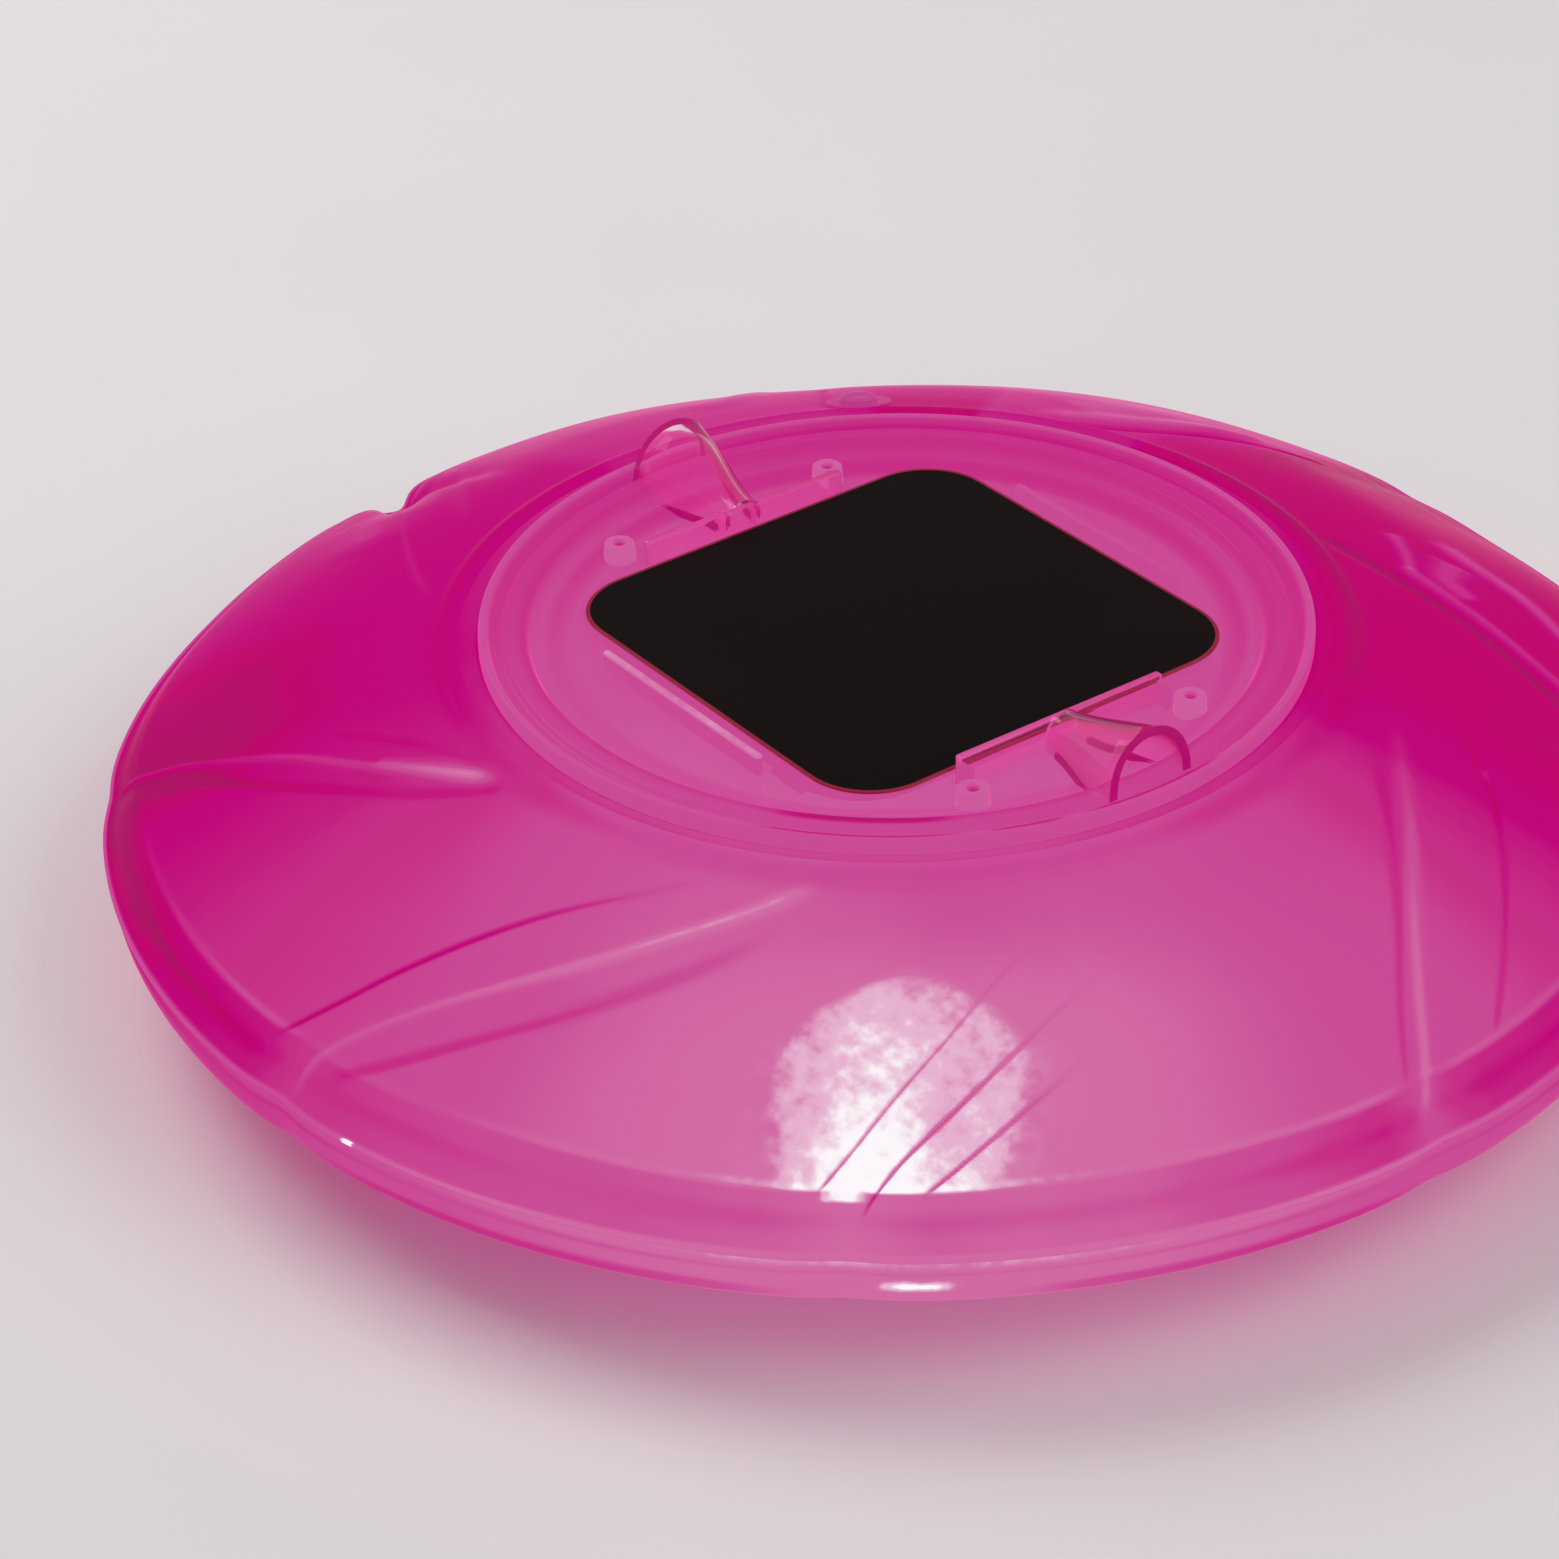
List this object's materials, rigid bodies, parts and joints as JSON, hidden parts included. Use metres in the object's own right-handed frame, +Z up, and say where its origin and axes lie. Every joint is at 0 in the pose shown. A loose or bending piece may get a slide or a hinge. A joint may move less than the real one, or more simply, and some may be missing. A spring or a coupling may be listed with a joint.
{
  "type": "floating pool light",
  "caption": "Round floating solar light: a clear lamp unit with a square solar panel, twist-locked into an inflated PVC float.",
  "frame": {"origin": "on the lamp's axis, at the bottom, on the surface that the light stands on", "axes": "+Z up along the lamp's axis; +X through one of the two grip hoods, square to a side of the solar panel; +Y along the panel's other direction"},
  "size_m": [0.35, 0.35, 0.0825],
  "materials": {
    "pvc_film": "clear soft film, lit magenta from inside",
    "clear_plastic": "clear moulding, lit magenta from inside",
    "soft_pvc": "soft clear moulding",
    "panel_black": "satin near-black",
    "cell_silicon": "dark silicon with fine fingers",
    "panel_coat": "satin clear coat over black cells",
    "foam": "closed foam tape",
    "rubber_seal": "matt",
    "steel": "plated",
    "brass": "bright",
    "led_epoxy": "clear epoxy, lit",
    "board_green": "solder mask",
    "chip_black": "moulded",
    "battery_jacket": "printed-free shrink sleeve",
    "wire_red": "insulation",
    "wire_black": "insulation",
    "white_plastic": "moulded"
  },
  "bodies": {
    "float": {"float_upper_film": "pvc_film", "float_lower_film": "pvc_film", "float_inner_wall": "pvc_film", "upper_collar_ring": "soft_pvc", "lower_collar_ring": "soft_pvc", "valve_body": "soft_pvc"},
    "lamp": {"board_screw_1": "steel", "board_screw_2": "steel", "board_screw_3": "steel", "charge_inductor": "chip_black", "contact_spring": "steel", "control_chip": "chip_black", "cover_gasket": "rubber_seal", "housing_screw_1": "steel", "housing_screw_2": "steel", "housing_screw_3": "steel", "housing_screw_4": "steel", "lamp_bowl": "clear_plastic", "led_1": "led_epoxy", "led_2": "led_epoxy", "led_3": "led_epoxy", "led_4": "led_epoxy", "led_5": "led_epoxy", "led_6": "led_epoxy", "led_board": "board_green", "panel_board": "panel_black", "panel_clear_layer": "panel_coat", "panel_lead_black": "wire_black", "panel_lead_red": "wire_red", "panel_pad": "foam", "solar_cell_1": "cell_silicon", "solar_cell_2": "cell_silicon", "solar_cell_3": "cell_silicon", "solar_cell_4": "cell_silicon", "solar_cell_5": "cell_silicon", "solar_cell_6": "cell_silicon", "storage_capacitor": "white_plastic", "tact_switch": "chip_black", "top_cover": "clear_plastic"},
    "valve_plug": {"valve_plug": "soft_pvc"},
    "valve_flap": {"valve_flap": "soft_pvc"},
    "battery": {"battery_cell": "battery_jacket"},
    "power_button": {"power_button": "soft_pvc", "switch_plunger": "white_plastic"},
    "battery_cap_seal": {"cap_seal": "rubber_seal"},
    "battery_cap": {"battery_cap": "white_plastic", "contact_disc": "brass"}
  },
  "joints": [
    {"name": "lamp_twist", "type": "hinge", "parent": "float", "child": "lamp", "pos_m": [0, 0, 0.06], "axis": [0, 0, 1], "range_deg": [0, 25]},
    {"name": "valve_plug_hinge", "type": "hinge", "parent": "float", "child": "valve_plug", "pos_m": [-0.09504, 0.06055, 0.06468], "axis": [-0.5373, -0.8434, 0], "range_deg": [0, 130]},
    {"name": "power_button_press", "type": "slide", "parent": "lamp", "child": "power_button", "axis": [0, 0, 1], "range_m": [0, 0.0012], "stiffness_N_per_m": 900, "springref_m": -0.0005},
    {"name": "battery_cap_travel", "type": "slide", "parent": "lamp", "child": "battery_cap_seal", "axis": [0, 0, -1], "range_m": [0, 0.0045], "deforming": ["contact_spring"]},
    {"name": "battery_cap_turn", "type": "hinge", "parent": "battery_cap_seal", "child": "battery_cap", "pos_m": [0, 0, 0.003], "axis": [0, 0, 1], "range_deg": [0, 270]},
    {"name": "valve_flap_hinge", "type": "hinge", "parent": "float", "child": "valve_flap", "pos_m": [-0.08839, 0.05631, 0.05066], "axis": [0.5373, 0.8434, 0], "range_deg": [0, 50], "stiffness_Nm_per_rad": 0.0005},
    {"name": "battery_follow", "type": "slide", "parent": "lamp", "child": "battery", "axis": [0, 0, -1], "range_m": [0, 0.0045]}
  ],
  "couplings": [
    {"joint": "battery_cap_turn", "follows": "battery_cap_travel", "rad_per_m": 1047},
    {"joint": "battery_follow", "follows": "battery_cap_travel", "ratio": 1}
  ]
}
